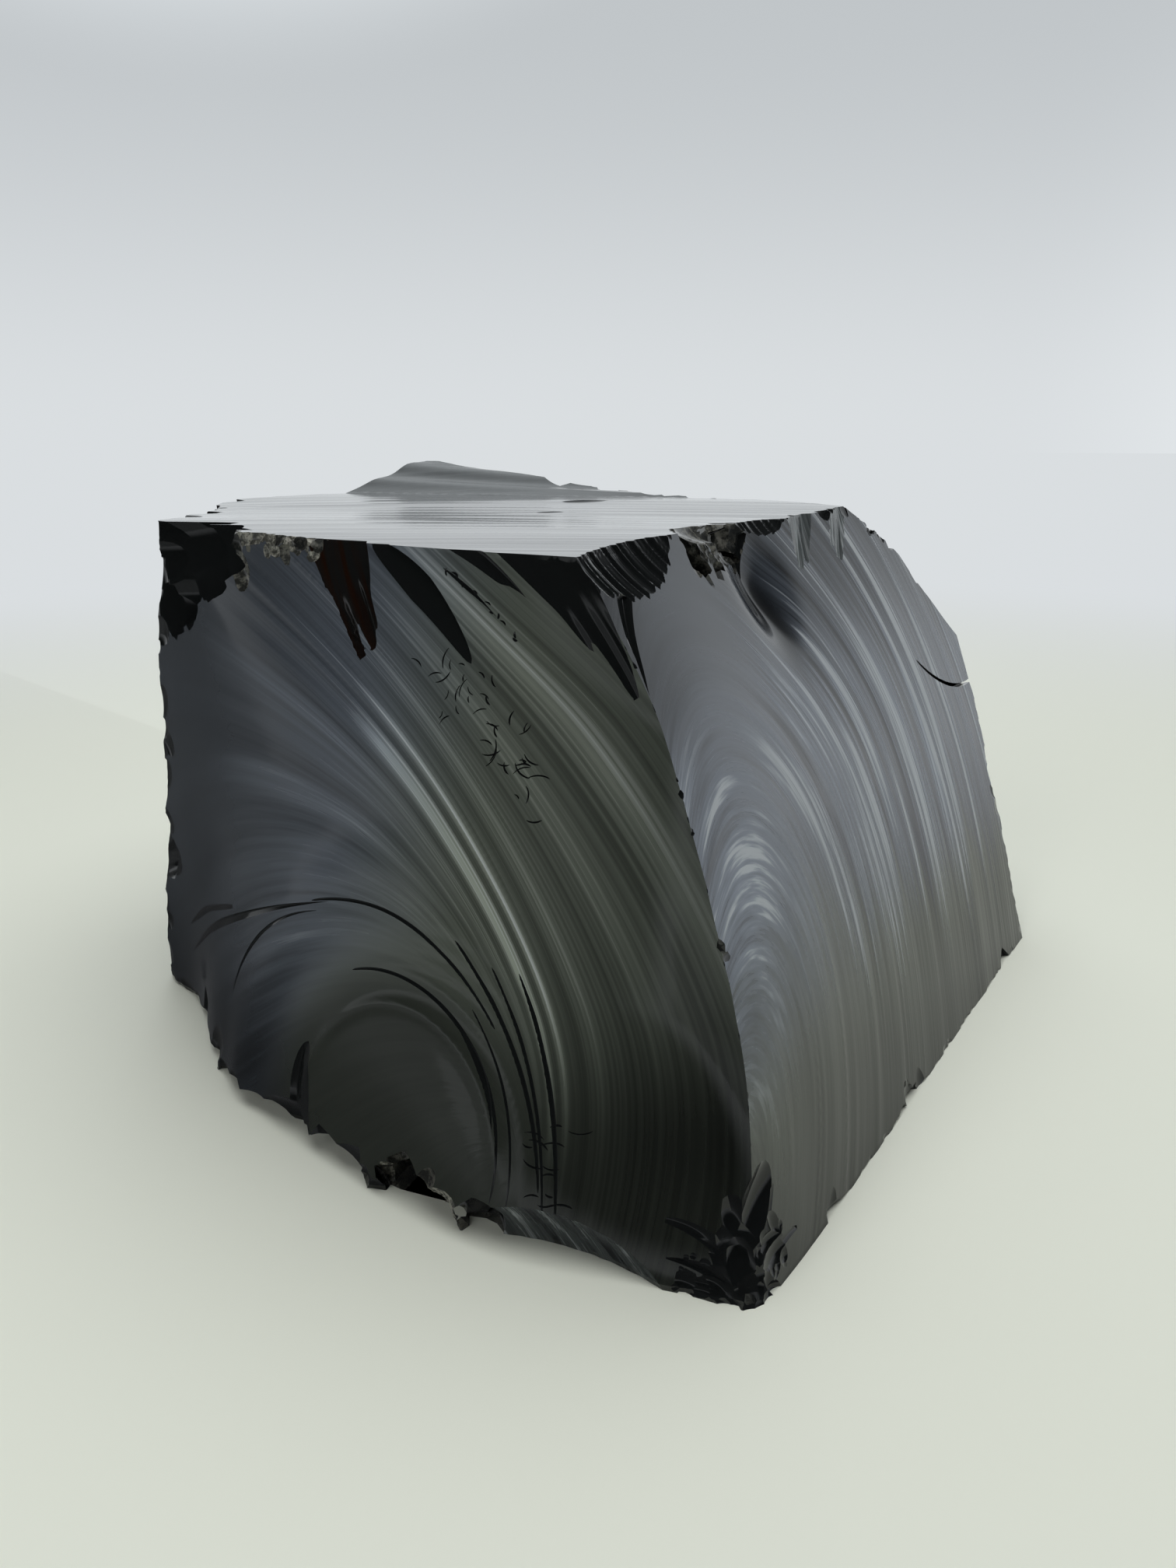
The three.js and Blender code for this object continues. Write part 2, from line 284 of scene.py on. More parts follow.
def left_finish(u, v):
    s = LEFT_LENGTH - u
    ring = disc_ring(s, v)
    # painted sheen and shade: paler towards the ridge side, darker just beside the ridge, at the foot
    # and over the bulb
    painted_sheen = 0.14 + 0.17 * smooth(s, 84, 50) - 0.29 * bump(s, 8, 22) * smooth(v, 42, 10)
    painted_sheen = painted_sheen * (1 - 0.35 * bump(s, 16, 18) * smooth(v, 20, 45))
    painted_sheen = painted_sheen * smooth(v, 2, 22) + 0.06 * smooth(v, 22, 2)
    painted_sheen = painted_sheen + (0.09 - painted_sheen) * smooth(ring, DISC_SIZE + 7, DISC_SIZE)
    streak = 0.4 * smooth(s, 92, 60) * smooth(ring, 20, 28) + 0.1
    tint = smooth(s, 36, 62) * smooth(ring, 16, 26)
    return painted_sheen, streak, tint


def left_ribbons(u, v):
    """Where painted pale ribbons of sheen show on the left front: from the upper left round to the
    ridge.
    """
    s = LEFT_LENGTH - u
    inner = smooth(left_grain(u, v)[0], 57.6, 55.2)
    fade_in = smooth(s, 60, 50) + (smooth(s, 92, 72) - smooth(s, 60, 50)) * inner
    return fade_in * smooth(v, 6, 28) * smooth(s, 10, 28)


def right_grain(u, v):
    size, angle = RIGHT_SWEEP.at(u, v)
    return size * 1.3, angle * 6


def right_finish(u, v):
    # painted sheen and shade: brightest about the apex of the arches, dimmed low down, towards the top
    # and over the dark dent
    apex = bump(u, 16, 17) * bump(v, 37, 17)
    painted_sheen = 0.32 + 0.30 * apex + 0.12 * bump(u, 50, 16) * smooth(v, 66, 50) + 0.12 * smooth(u, 60, 90)
    painted_sheen = painted_sheen * (0.05 + 0.95 * smooth(v, 5, 38)) + 0.14 * bump(u, 8, 8) * bump(v, 18, 12)
    dark_dent = bump(np.hypot((u - 58.5) / 0.6, v - 64), 0, 8, 4)
    painted_sheen = painted_sheen * (1 - 0.95 * dark_dent) * (1 - 0.5 * smooth(v, 48, 66))
    painted_sheen = painted_sheen * (1 - 0.6 * bump(u, 15, 9) * smooth(v, 46, 60))
    streak = 0.50 + 0.20 * apex + 0.75 * smooth(u, 30, 52)
    streak = streak * (1 - 0.8 * bump(u, 34, 16) * smooth(v, 46, 62)) * (1 - dark_dent)
    tint = smooth(v, 12, 26)
    return painted_sheen, streak, tint


def right_ribbons(u, v):
    """Where painted pale ribbons of sheen show on the right front: across its middle, away from its
    edges.
    """
    return 0.45 * smooth(u, 34, 50) * smooth(v, 8, 34) * smooth(v, 72, 56)


def top_grain(u, v):
    x, y = u + RIDGE_TOP[0], v + RIDGE_TOP[1]
    return top_front(x, y) * 1.1, x * 0.12


def radial_grain(centre, around=8.0):
    def grain(u, v):
        du, dv = u - centre[0], v - centre[1]
        return np.hypot(du, dv), np.arctan2(dv, du) * around
    return grain


def even(*finish):
    """The same finish, with its painted sheen, all over a break."""
    def values(u, v):
        return tuple(np.full_like(u, value) for value in finish)
    return values


# ---- cuts

class Cut:
    """One piece of glass struck off: a height over a plane, and the looks of the break."""

    def __init__(self, plane, height, grain, finish, pale=0.0, thin=0.0, ribbons=None):
        self.plane = plane
        self.height = height
        self.grain = grain
        self.finish = finish
        self.damage_and_sheen = (pale, thin)
        self.ribbons = ribbons or (lambda u, v: 0 * u)
        self.mesh = None


MIRROR = (0.02, 0.1, 0.5)


def steps(low, high, fine):
    """Positions along one side of a face cutter: fine from low to high, coarse beyond them."""
    before = np.arange(-CUT_REACH, low - COARSE / 2, COARSE)
    inside = np.linspace(low, high, max(2, round((high - low) / fine) + 1))
    after = np.arange(CUT_REACH, high + COARSE / 2, -COARSE)[::-1]
    return np.concatenate([before, inside, after])


def closed_mesh(points, quads, border, cap, full_cap=False):
    """A closed mesh from a bottom surface, the loop round its edge and the cap over that loop.

    A full cap has a point over every point of the bottom, and not only over the loop."""
    mesh = bpy.data.meshes.new("cutter")
    count = len(points)
    loop = [int(i) for i in border]
    above = loop if full_cap else list(range(len(loop)))
    faces = [tuple(int(i) for i in quad) for quad in quads]
    lids = [face[::-1] for face in faces] if full_cap else [above]
    for a, b, over_a, over_b in zip(loop, loop[1:] + loop[:1], above, above[1:] + above[:1]):
        faces.append((a, b, count + over_b, count + over_a))
    faces += [tuple(count + i for i in lid) for lid in lids]
    mesh.from_pydata(np.vstack([points, cap]).tolist(), [], faces)
    return mesh


def grid_faces(shape):
    """Faces of a grid of points, looking down, and the loop round its edge."""
    index = np.arange(shape[0] * shape[1]).reshape(shape)
    quads = np.stack([index[:-1, :-1], index[:-1, 1:], index[1:, 1:], index[1:, :-1]], -1)
    border = np.concatenate([index[:, 0], index[-1, 1:], index[-2::-1, -1], index[0, -2:0:-1]])
    return quads.reshape(-1, 4), border


def face_cut(plane, height, grain, finish, u_steps, v_steps, ribbons=None):
    """Cuts away everything outside one large fracture face."""
    cut = Cut(plane, height, grain, finish, ribbons=ribbons)
    u, v = np.meshgrid(steps(*u_steps), steps(*v_steps), indexing="ij")
    points = plane.point(u, v, height(u, v)).reshape(-1, 3)
    quads, border = grid_faces(u.shape)
    flat = plane.local(points[border])
    cap = plane.point(flat[:, 0], flat[:, 1], CUT_DEPTH)
    cut.mesh = closed_mesh(points, quads, border, cap)
    return cut


def bowl(length, width, depth, ribs=0.0, rib_gap=1.0, struck=(0.0, 0.0)):
    """The hollow of a flake scar, rippled or ribbed about the point where it was struck."""
    def surface(x, y):
        reach = (2 * x / length) ** 2 + (2 * y / width) ** 2
        distance = np.hypot(x - struck[0], y - struck[1]) * 2 * math.pi / rib_gap
        wave = np.sin(distance) + 0.6 * np.sin(distance * 1.61 + 1) + 0.4 * np.sin(distance * 0.43)
        return depth * (reach - 1) + ribs * 0.6 * wave
    return surface


def scar(at, out, along, length, width, depth, detail=1.0, ribs=0.0, rib_gap=1.0,
         struck=(0.0, 0.0), finish=MIRROR, pale=0.0, thin=0.0):
    """A flake scar, long along its own direction."""
    plane = Plane(at, np.asarray(along, float), out)
    height = bowl(length, width, depth, ribs, rib_gap, struck)
    cut = Cut(plane, height, radial_grain(struck), even(*finish), pale, thin)
    clearance = max(3.0, depth * 4)
    sides = max(10, int(math.pi * math.sqrt(length * width) * SCAR_RIM / detail / 2))
    rings = max(2, int(max(length, width) / 2 * SCAR_RIM / detail))
    radius = np.linspace(0, SCAR_RIM, rings + 1)[1:]
    turn = np.arange(sides) * 2 * math.pi / sides
    x = np.append(0, np.outer(radius, np.cos(turn))) * length / 2
    y = np.append(0, np.outer(radius, np.sin(turn))) * width / 2
    points = plane.point(x, y, cut.height(x, y))
    ring = 1 + np.arange(rings * sides).reshape(rings, sides)
    nxt = np.roll(ring, -1, axis=1)
    quads = [(0, b, a) for a, b in zip(ring[0], nxt[0])]
    quads += np.stack([ring[:-1], nxt[:-1], nxt[1:], ring[1:]], -1).reshape(-1, 4).tolist()
    flat = plane.local(points[ring[-1]])
    cap = plane.point(flat[:, 0], flat[:, 1], depth * (SCAR_RIM ** 2 - 1) + clearance)
    cut.mesh = closed_mesh(points, quads, ring[-1], cap)
    return cut


class Bow:
    """A circular arc through three points of a face: t runs along it, q across it to its left."""

    def __init__(self, start, via, end):
        a, b, c = (complex(*p) for p in (start, via, end))
        w = (c - a) / (b - a)
        centre = (b - a) * (w - abs(w) ** 2) / (2j * w.imag) + a
        self.centre = centre
        self.radius = abs(a - centre)
        self.side = 1.0 if w.imag > 0 else -1.0
        self.first = np.angle(a - centre)
        sweep = (np.angle(c - centre) - self.first) * self.side % (2 * math.pi)
        self.sweep = sweep * self.side
        self.length = sweep * self.radius

    def at(self, t, q):
        turn = self.first + t * self.sweep
        reach = self.radius - self.side * q
        return self.centre.real + reach * np.cos(turn), self.centre.imag + reach * np.sin(turn)

    def locate(self, u, v):
        place = (np.asarray(u) + 1j * np.asarray(v)) - self.centre
        turn = np.angle(place * np.exp(-1j * (self.first + self.sweep / 2)))
        return turn / self.sweep + 0.5, (self.radius - np.abs(place)) * self.side


def strip(face, start, via, end, half_width, depth, lean=0.6, pointed=0.8, feather=0.0,
          seed=0, open_start=False, detail=0.5, finish=MIRROR, pale=0.0, thin=0.0):
    """A long narrow scar that follows an arc across a face, sharp at its edges.

    One side slopes gently and the other steeply; lean says where the deepest line lies, from
    -1 at the right edge to 1 at the left. A low pointed keeps it wide for longer, and feather
    says how rough its far half is. An open start, for a scar off an edge, keeps its full width."""
    plane, face_height = face
    bow = Bow(start, via, end)
    deepest = lean * half_width

    def width_at(t):
        ends = np.clip(1 - t, 0, 1) ** pointed
        if not open_start:
            ends = ends * np.clip(2.2 * t, 0, 1) ** pointed
        return half_width * ends + 0.03

    def sink(t, q):
        width = width_at(t)
        gentle, steep = depth / (half_width + deepest), depth / (half_width - deepest)
        rough = feather * wander(q, t * bow.length * 0.05, 1.6, seed) * smooth(t, 0.3, 0.9)
        return np.maximum(gentle * (-width - q), steep * (q - width)) + rough

    def height(u, v):
        return face_height(u, v) + sink(*bow.locate(u, v))

    def grain(u, v):
        t, q = bow.locate(u, v)
        return q * 1.5, t * bow.length * 0.2

    cut = Cut(plane, height, grain, even(*finish), pale, thin)
    rows = max(6, int(bow.length * 1.1 / detail))
    across = max(8, int(half_width * 2 * STRIP_RIM / detail))
    t = np.linspace(-0.08 if open_start else 0.0, 1.0, rows)
    share = np.unique(np.concatenate([np.linspace(-STRIP_RIM, STRIP_RIM, across), [-1.0, lean, 1.0]]))
    t, share = np.meshgrid(t, share, indexing="ij")
    inner = np.clip(share, -1, 1) * width_at(t)
    q = inner + (np.abs(share) > 1) * (share - np.sign(share)) * half_width
    u, v = bow.at(t, q)
    low = plane.point(u, v, face_height(u, v) + sink(t, q)).reshape(-1, 3)
    high = plane.point(u, v, face_height(u, v) + depth * 4 + 1.5).reshape(-1, 3)
    quads, border = grid_faces(t.shape)
    cut.mesh = closed_mesh(low, quads, border, high, full_cap=True)
    return cut


def between(a, b, share):
    return unit(np.asarray(a) * (1 - share) + np.asarray(b) * share)


# ---- the faces

# finishes: how much sheen is painted into the colour, how streaked, and the tint
SIDE_SHEEN = (0.10, 0.45, 0.6)
TOP_SHEEN = (0.2, 0.3, 0.5)


def dome_face(origin, out, centre, height, reach, struck, ripple, wavelength):
    """A face at the side or back: its plane, height, grain and finish with painted sheen."""
    dome = rippled_dome(centre, height, reach, struck, ripple, wavelength)
    return plane_facing(origin, out), dome, radial_grain(struck, 14), even(*SIDE_SHEEN)


FACES = {
    "left": (LEFT, left_height, left_grain, left_finish),
    "right": (RIGHT, right_height, right_grain, right_finish),
    "top": (TOP, top_height, top_grain, even(*TOP_SHEEN)),
    "left side": dome_face(BASE_LEFT, SIDE_OUT, (-20, 35), -2, 30, (-42, 82), 0.35, 2.6),
    "rear left": dome_face((-46.3, 59.5, 70), (-0.65, 0.76, 0), (0, -30), 1, 30, (8, 10), 0.3, 2.4),
    "back": dome_face(PEAK, (0.226, 0.974, 0.03), (-50, -40), -2.5, 40, (-78, 12), 0.4, 3),
    "behind top": dome_face((13, 47, 72.2), (0.37, 0.56, 0.74), (0, 30), -1, 30, (-30, 20), 0.2, 2.2),
    "shoulder": dome_face((35.6, 21.6, 71.2), (0.475, 0.269, 0.837), (4, -23), 2.4, 20, (20, 12), 0.1,
                          1.4),
    "rear right": dome_face(BASE_RIGHT, REAR_OUT, (-30, 20), 1, 30, (24, 66), 0.35, 2.8),
}
# where each face needs its fine grid, along it and up it: from, to, and how fine
FINE = {
    "left": ((-6, 122, 0.6), (-4, 78, 0.6)),
    "right": ((-12, 116, 0.64), (-4, 84, 0.64)),
    "top": ((-62, 72, 2.4), (-4, 116, 0.5)),
    "left side": ((-76, 10, 1.5), (-4, 80, 1.5)),
    "rear left": ((-32, 32, 1.5), (-74, 10, 1.5)),
    "back": ((-100, 20, 1.5), (-80, 4, 1.5)),
    "behind top": ((-40, 40, 1.5), (-50, 12, 1.5)),
    "shoulder": ((-40, 40, 1.0), (-50, 14, 1.0)),
    "rear right": ((-20, 70, 1.5), (-4, 80, 1.5)),
}


RIBBONED = {"left": left_ribbons, "right": right_ribbons}


def on_face(name, u, v, lift=0.0):
    plane, height = FACES[name][:2]
    return plane.point(u, v, height(u, v) + lift)


def on_left(s, v, lift=0.0):
    return on_face("left", LEFT_LENGTH - s, v, lift)


def on_right(u, v, lift=0.0):
    return on_face("right", u, v, lift)


def on_edge(first, second, point):
    """The point on the edge between two faces that lies nearest to a given point."""
    point = np.asarray(point, float)
    for _ in range(12):
        for name in (first, second):
            plane, height = FACES[name][:2]
            u, v, w = plane.local(point)
            point = point + plane.out * (height(u, v) - w)
    return point


# ---- flake scars

BEVEL_OUT = unit((-0.50, -0.83, -0.28))
BEVEL_SHEEN = (0.16, 1.0, 0.4)
# frosted finishes: rougher, with a paler sheen painted into the colour
FROSTED_SHEEN = (0.25, 0.8, 0.5)
PALE_FROSTED_SHEEN = (0.32, 0.9, 0.5)
# little painted sheen, so these breaks show darker
DIM_SHEEN = (0.06, 0.5, 0.6)
LEFT_FACE = (LEFT, left_height)
RIGHT_FACE = (RIGHT, right_height)


def left_strip(start, via, end, *sizes, **looks):
    """A strip on the left front, with its places given from the tip to the left, and up."""
    places = [(LEFT_LENGTH - s, v) for s, v in (start, via, end)]
    return strip(LEFT_FACE, *places, *sizes, **looks)


def left_finger(*sizes, **looks):
    """A strip on the left front that comes off an edge of the stone."""
    return left_strip(*sizes, open_start=True, **looks)


def right_strip(*sizes, **looks):
    return strip(RIGHT_FACE, *sizes, **looks)


def right_finger(*sizes, **looks):
    return right_strip(*sizes, open_start=True, **looks)


# the dark lines round the bulb, in the order of a strip's own arguments
BULB_LINES = [
    ((60, 27.4), (45, 28.4), (31, 20.5), 0.24, 0.15, 0.3, 0.3),
    ((75.5, 11), (70, 20), (59, 26.4), 0.45, 0.25, 0.4, 0.8),
    ((52, 21.2), (36, 20.2), (26.9, 3.5), 0.26, 0.18, 0.3, 0.35),
    ((35, 19.4), (30.8, 15.4), (28.4, 10.5), 0.55, 0.35, 0.5, 0.8),
    ((34, 21.8), (28.2, 14.5), (25, 3), 0.15, 0.12, 0.3, 0.4),
    ((38, 28.2), (29, 19.6), (22.2, 6), 0.24, 0.16, 0.3, 0.3),
    ((33, 26.5), (26.5, 17.5), (21, 2.5), 0.2, 0.14, 0.3, 0.4),
    ((30, 26.5), (24.2, 16.5), (19.6, 2), 0.26, 0.16, 0.3, 0.4),
]


def upper_left_scars():
    return [
        # black corner, in fingers, and the black triangle below it
        left_finger((106, 67.4), (95, 67.6), (82.5, 66.8), 2.4, 1.1, 0.9, 0.8, 0.12, 1),
        left_finger((106, 61.8), (95, 63), (83.5, 64.4), 3.2, 1.2, 0.9, 0.8, 0.15, 2),
        left_finger((106, 57.5), (98, 59.2), (90, 62), 2.2, 0.9, 0.9, 0.8, 0.15, 3),
        left_strip((98.5, 57), (95.5, 57.2), (92, 57.8), 1.0, 0.5, 0.2, 0.5),
        # the brown flake and the long black scars along the top
        left_finger((65, 71.5), (62.2, 66), (56.4, 57.4), 4.4, 1.5, 0.7, 0.55, 0.5, 4, thin=1.0),
        left_strip((59, 69.3), (50.4, 63.9), (43.6, 57.3), 2.3, 1.1, 0.9, 0.55),
        left_strip((49, 67.2), (44.8, 64.8), (41, 62), 0.35, 0.3, 0.6, 0.8, 0.1, 5),
        left_finger((48.5, 70.5), (42, 67), (36.5, 63.2), 1.2, 0.6, 0.6, 0.8, 0.15, 6),
        left_finger((39.8, 73), (32.5, 65.5), (25, 56), 4.6, 1.9, 0.7, 0.8, 0.22, 7),
    ]


def lower_left_scars():
    return [
        # black crescents above the bulb, and the dark lines that run round it
        left_strip((98, 8.5), (74, 21.8), (57, 28), 0.9, 0.45, 0.5, 0.8, 0.05, 8),
        left_strip((98.5, 12.5), (87, 18.6), (77, 22.2), 0.9, 0.4, 0.5, 0.8, 0.12, 9),
        *(left_strip(*line) for line in BULB_LINES),
        # hollow at the lower left of the bulb
        left_strip((57.4, 11), (57.6, 4), (52.5, -3), 2.6, 0.9, -0.75, 0.6),
        # the bevel beside the tip, and the fingers of the shattered tip
        scar(on_left(16, 0) - 0.3 * BEVEL_OUT, BEVEL_OUT, LEFT.along, 24, 15, 2.4, 1.0, 0.06, 2.3,
             (12, 6), BEVEL_SHEEN),
        left_strip((1, 3), (5, 4.9), (10.5, 5.8), 1.2, 0.8, 0.8, 0.8, 0.2, 10),
        left_strip((1, 1.5), (5, 2.6), (9.5, 2.6), 1.2, 0.8, 0.8, 0.8, 0.2, 13),
        # chips at the foot of the bulb
        scar(on_left(35, 0.5, 0.8), (-0.6, -0.75, -0.25), UP, 9, 9, 1.5, 1.0, 0.06, 1.6, (-5, 0)),
        scar(on_left(28.5, 0.8, 0.6), (-0.55, -0.75, -0.35), UP, 7, 6, 1.1, 1.0, 0.06, 1.2, (-4, 0)),
    ]


def ticks(seed, count, start, end, scatter, lengths, turns, half_width, depth):
    """Short fine cracks across the streaks of the left front, scattered along a line."""
    dice = np.random.default_rng(seed)
    start, end = np.array(start), np.array(end)
    made = []
    for share in np.linspace(0, 1, count):
        middle = start + (end - start) * share + dice.normal(0, scatter, 2)
        turn, half = dice.uniform(*turns), dice.uniform(*lengths) / 2
        reach = half * np.array([math.cos(turn), math.sin(turn)])
        sag = 0.3 * half * dice.choice([-1, 1]) * np.array([-math.sin(turn), math.cos(turn)])
        width = half_width * dice.uniform(0.6, 1.3)
        made.append(left_strip(middle - reach, middle + sag, middle + reach, width, depth,
                               lean=dice.choice([-0.5, 0.5]), pointed=0.5, detail=0.3))
    return made


def fine_cracks():
    scales = ticks(201, 44, (47.5, 57.5), (32.5, 46), 1.5, (0.7, 2.4), (-1.0, 2.0), 0.09, 0.2)
    beads = ticks(202, 12, (48, 67), (39, 60.6), 0.25, (0.5, 1.1), (0.2, 1.6), 0.14, 0.2)
    beside_bulb = ticks(203, 16, (23, 13), (21, 3), 1.3, (0.8, 2.2), (-0.3, 0.3), 0.1, 0.15)
    return scales + beads + beside_bulb


def right_scars():
    out = RIGHT.out
    return [
        # ribbed fan at the top of the ridge, and its tail
        scar(on_right(26.5, 76, 0.4), between(out, UP, 0.22), RIGHT.along + 0.12 * RIGHT.climb,
             29, 16, 2.4, 0.42, 0.22, 1.9, (-36, -4)),
        right_finger((19.5, 70), (17, 66), (14.8, 59), 1.3, 0.7, 0.6, 0.8, 0.25, 21),
        # crushed notch and the scars beyond it
        scar(on_right(49, 78), between(out, UP, 0.4), RIGHT.along, 20, 9, 2.4, pale=0.25),
        scar(on_right(63.5, 79), between(out, UP, 0.25), RIGHT.along, 18, 12, 2.0, 0.45, 0.16, 1.7,
             (-16, 4)),
        right_finger((60, 76), (58.4, 72), (57.5, 68), 1.8, 0.9, 0.7, 0.8, 0.3, 22),
        right_finger((77.5, 80.5), (75.5, 75.5), (71.5, 69), 4.4, 1.0, 0.7, 0.6, 0.25, 24,
                     finish=FROSTED_SHEEN),
        right_finger((90, 80), (88, 75), (84.5, 69), 3.2, 0.5, 0.7, 0.8, 0.2, 26,
                     finish=PALE_FROSTED_SHEEN),
        # crack under the shoulder
        right_strip((99.5, 50.2), (108.5, 44.9), (131, 44.6), 0.36, 2.0, 0.2, 0.25, thin=0.8),
        # fingers of the shattered tip
        right_strip((1.5, 4), (3.4, 8), (4.1, 12.5), 0.9, 0.6, 0.8, 0.8, 0.1, 27),
        right_strip((1.5, 2.5), (4.6, 6.6), (7.2, 9.6), 1.1, 0.7, 0.8, 0.8, 0.1, 28),
        right_strip((1.5, 1.2), (5.5, 3.4), (10, 3.4), 1.1, 0.6, 0.8, 0.8, 0.1, 29),
    ]


# small chips in the middle of the top: place, length, width, depth
TOP_CHIPS = [((-5, 36), 8, 3.6, 0.5), ((-10, 20.5), 4.5, 2.6, 0.4)]


def top_scars():
    return [scar(on_face("top", *(place - RIDGE_TOP[:2])), UP, (1, 0.3, 0), *sizes)
            for place, *sizes in TOP_CHIPS]


def back_scars():
    """Large shallow scars at the back, rippled from where each was struck."""
    return [
        scar((52, 50, 20), (0.5, 0.86, -0.1), UP, 62, 44, 5, 1.6, 0.15, 6, (30, 0), DIM_SHEEN),
        scar((-10, 66, 72), (0.2, 0.9, 0.35), UP, 40, 46, 4, 1.6, 0.12, 5, (10, 0), DIM_SHEEN),
        scar((-70, 32, 8), (-0.97, -0.1, -0.2), UP, 50, 38, 3.5, 1.6, 0.12, 6, (-20, 0), DIM_SHEEN),
    ]


# ---- small chips

def chips(seed, count, place, outs, sizes, depth=0.10, spread=0.3, pale=(0.0, 0.0), sink=0.0,
          along=(0, 0, 0), longer=(1, 2)):
    """Small flat flakes off an edge or a patch. place gives a point for a share from 0 to 1."""
    dice = np.random.default_rng(seed)
    made = []
    for _ in range(count):
        at = place(dice.uniform(), dice)
        out = unit(between(outs[0], outs[1], dice.uniform(0.1, 0.9)) + dice.normal(0, spread, 3))
        size = sizes[0] + (sizes[1] - sizes[0]) * dice.uniform() ** 1.6
        deep = size * depth * dice.uniform(0.6, 1.4)
        toward = np.asarray(along) + dice.normal(0, 1, 3)
        made.append(scar(at + out * (deep * 0.4 - sink), out, toward, size * dice.uniform(*longer),
                         size, deep, detail=max(0.5, size / 5), pale=dice.uniform(*pale)))
    return made


def edge(first, second, start, end):
    """Points along the edge between two faces."""
    start, end = np.asarray(start, float), np.asarray(end, float)

    def place(share, dice):
        return on_edge(first, second, start + (end - start) * share)
    return place


def left_patch(start, end, low, high):
    return lambda t, dice: on_left(start + (end - start) * t, dice.uniform(low, high))


def right_patch(start, end, low, high):
    return lambda t, dice: on_right(start + (end - start) * t, dice.uniform(low, high))


CORNER_OUT = unit((-0.1, -0.92, 0.36))
TIP_OUT = unit((0.1, -0.88, 0.46))
TIP_BREAK = plane_facing(on_edge("left", "right", TIP + (0, 0, 5)) - 1.3 * TIP_OUT, TIP_OUT)


def tip_patch(share, dice):
    return TIP_BREAK.point(9 * (share - 0.5), dice.uniform(-5, 4))


def corner_chips():
    """The black corner at the upper left: long thin flakes, one over the other."""
    flakes = {"depth": 0.06, "spread": 0.10, "along": 3 * LEFT.along, "longer": (1.3, 2.6)}
    outs = (CORNER_OUT, CORNER_OUT)
    return [
        chips(121, 30, left_patch(87, 100, 62, 68.5), outs, (2.0, 5.0), **flakes),
        chips(122, 14, left_patch(94, 100, 56, 63), outs, (1.5, 4.0), **flakes),
    ]


def left_chips():
    left, side, down = LEFT.out, unit(SIDE_OUT), -UP
    top_edge = edge("left", "top", on_left(84, 69.5), on_left(100, 69.5))
    left_edge = edge("left", "left side", BASE_LEFT, BASE_LEFT + 69 * UP)
    left_notch = edge("left", "left side", BASE_LEFT + 15 * UP, BASE_LEFT + 27 * UP)
    return [
        # crushed glass along the top
        chips(116, 30, left_patch(80, 91, 65.5, 68.8), (left, left), (0.8, 2.6), 0.12, 0.3, (0, 0.3)),
        chips(101, 120, left_patch(61, 83, 68.2, 69.9), (left, UP), (0.3, 1.4), 0.15, 0.4, (0.1, 0.9)),
        chips(119, 22, left_patch(62, 80, 67.2, 68.4), (left, left), (0.5, 1.5), 0.14, 0.35, (0, 0.7)),
        chips(102, 24, top_edge, (left, UP), (0.8, 2.2)),
        *corner_chips(),
        # nicks down the left edge
        chips(103, 70, left_edge, (left, side), (1.0, 4.5), 0.12),
        chips(104, 10, left_notch, (left, side), (3.0, 6.0), 0.14, sink=0.4),
        # crushed foot
        chips(105, 60, left_patch(25, 41, -0.3, 2.6), (left, down), (1.0, 3.6), 0.14, 0.45, (0, 0.6)),
        chips(106, 70, left_patch(41, 112, -0.2, 0.2), (left, down), (1.5, 5.5), 0.10),
    ]


def tip_chips():
    """The shattered tip, and the nicks along the ridge above it."""
    left, right = LEFT.out, RIGHT.out
    ridge = edge("left", "right", TIP + (0, 0, 8), RIDGE_TOP)
    return [
        chips(107, 90, tip_patch, (TIP_OUT, TIP_OUT), (1.0, 3.6), 0.2, 0.3, along=(0, 0, 2),
              longer=(1.2, 2.6)),
        chips(117, 30, left_patch(2, 8, 0.0, 4), (left, TIP_OUT), (0.8, 2.2), 0.2, 0.2),
        chips(118, 30, right_patch(2, 7, 0.0, 5), (right, TIP_OUT), (0.8, 2.2), 0.2, 0.2),
        chips(108, 26, ridge, (left, right), (0.3, 1.0), 0.10),
    ]


def right_chips():
    right, rear, down = RIGHT.out, unit(REAR_OUT), -UP
    top_edge = edge("right", "top", on_right(58, 77), on_right(92, 77))
    shoulder_edge = edge("right", "shoulder", on_right(86, 76), on_right(118, 56))
    right_edge = edge("right", "rear right", BASE_RIGHT, on_right(124, 40))
    return [
        # crushed glass and scars along the top
        chips(109, 110, right_patch(42, 60, 72, 77), (right, UP), (0.6, 2.6), 0.16, 0.55, (0, 0.3)),
        chips(110, 30, top_edge, (right, UP), (0.8, 2.6), 0.12),
        chips(115, 20, shoulder_edge, (right, UP), (0.8, 2.5)),
        # right edge and foot
        chips(111, 36, right_edge, (right, rear), (1.0, 3.0)),
        chips(112, 50, right_patch(10, 104, -0.2, 0.2), (right, down), (1.0, 3.0)),
    ]


def rim_chips():
    """The rim of the top, at its left and back."""
    left_rim = edge("top", "left side", (-62, 8, 69), (-55, 60, 70))
    back_rim = edge("top", "behind top", (-10, 66, 72), (36, 22, 71))
    return [
        chips(113, 40, left_rim, (UP, unit(SIDE_OUT)), (1.5, 5.0)),
        chips(114, 40, back_rim, (UP, unit(REAR_OUT)), (1.5, 5.0)),
    ]


def small_chips():
    groups = left_chips() + tip_chips() + right_chips() + rim_chips()
    return [cut for group in groups for cut in group]


# ---- the stone

def as_object(data, name, collection=None):
    made = bpy.data.objects.new(name, data)
    (collection or bpy.context.scene.collection).objects.link(made)
    return made


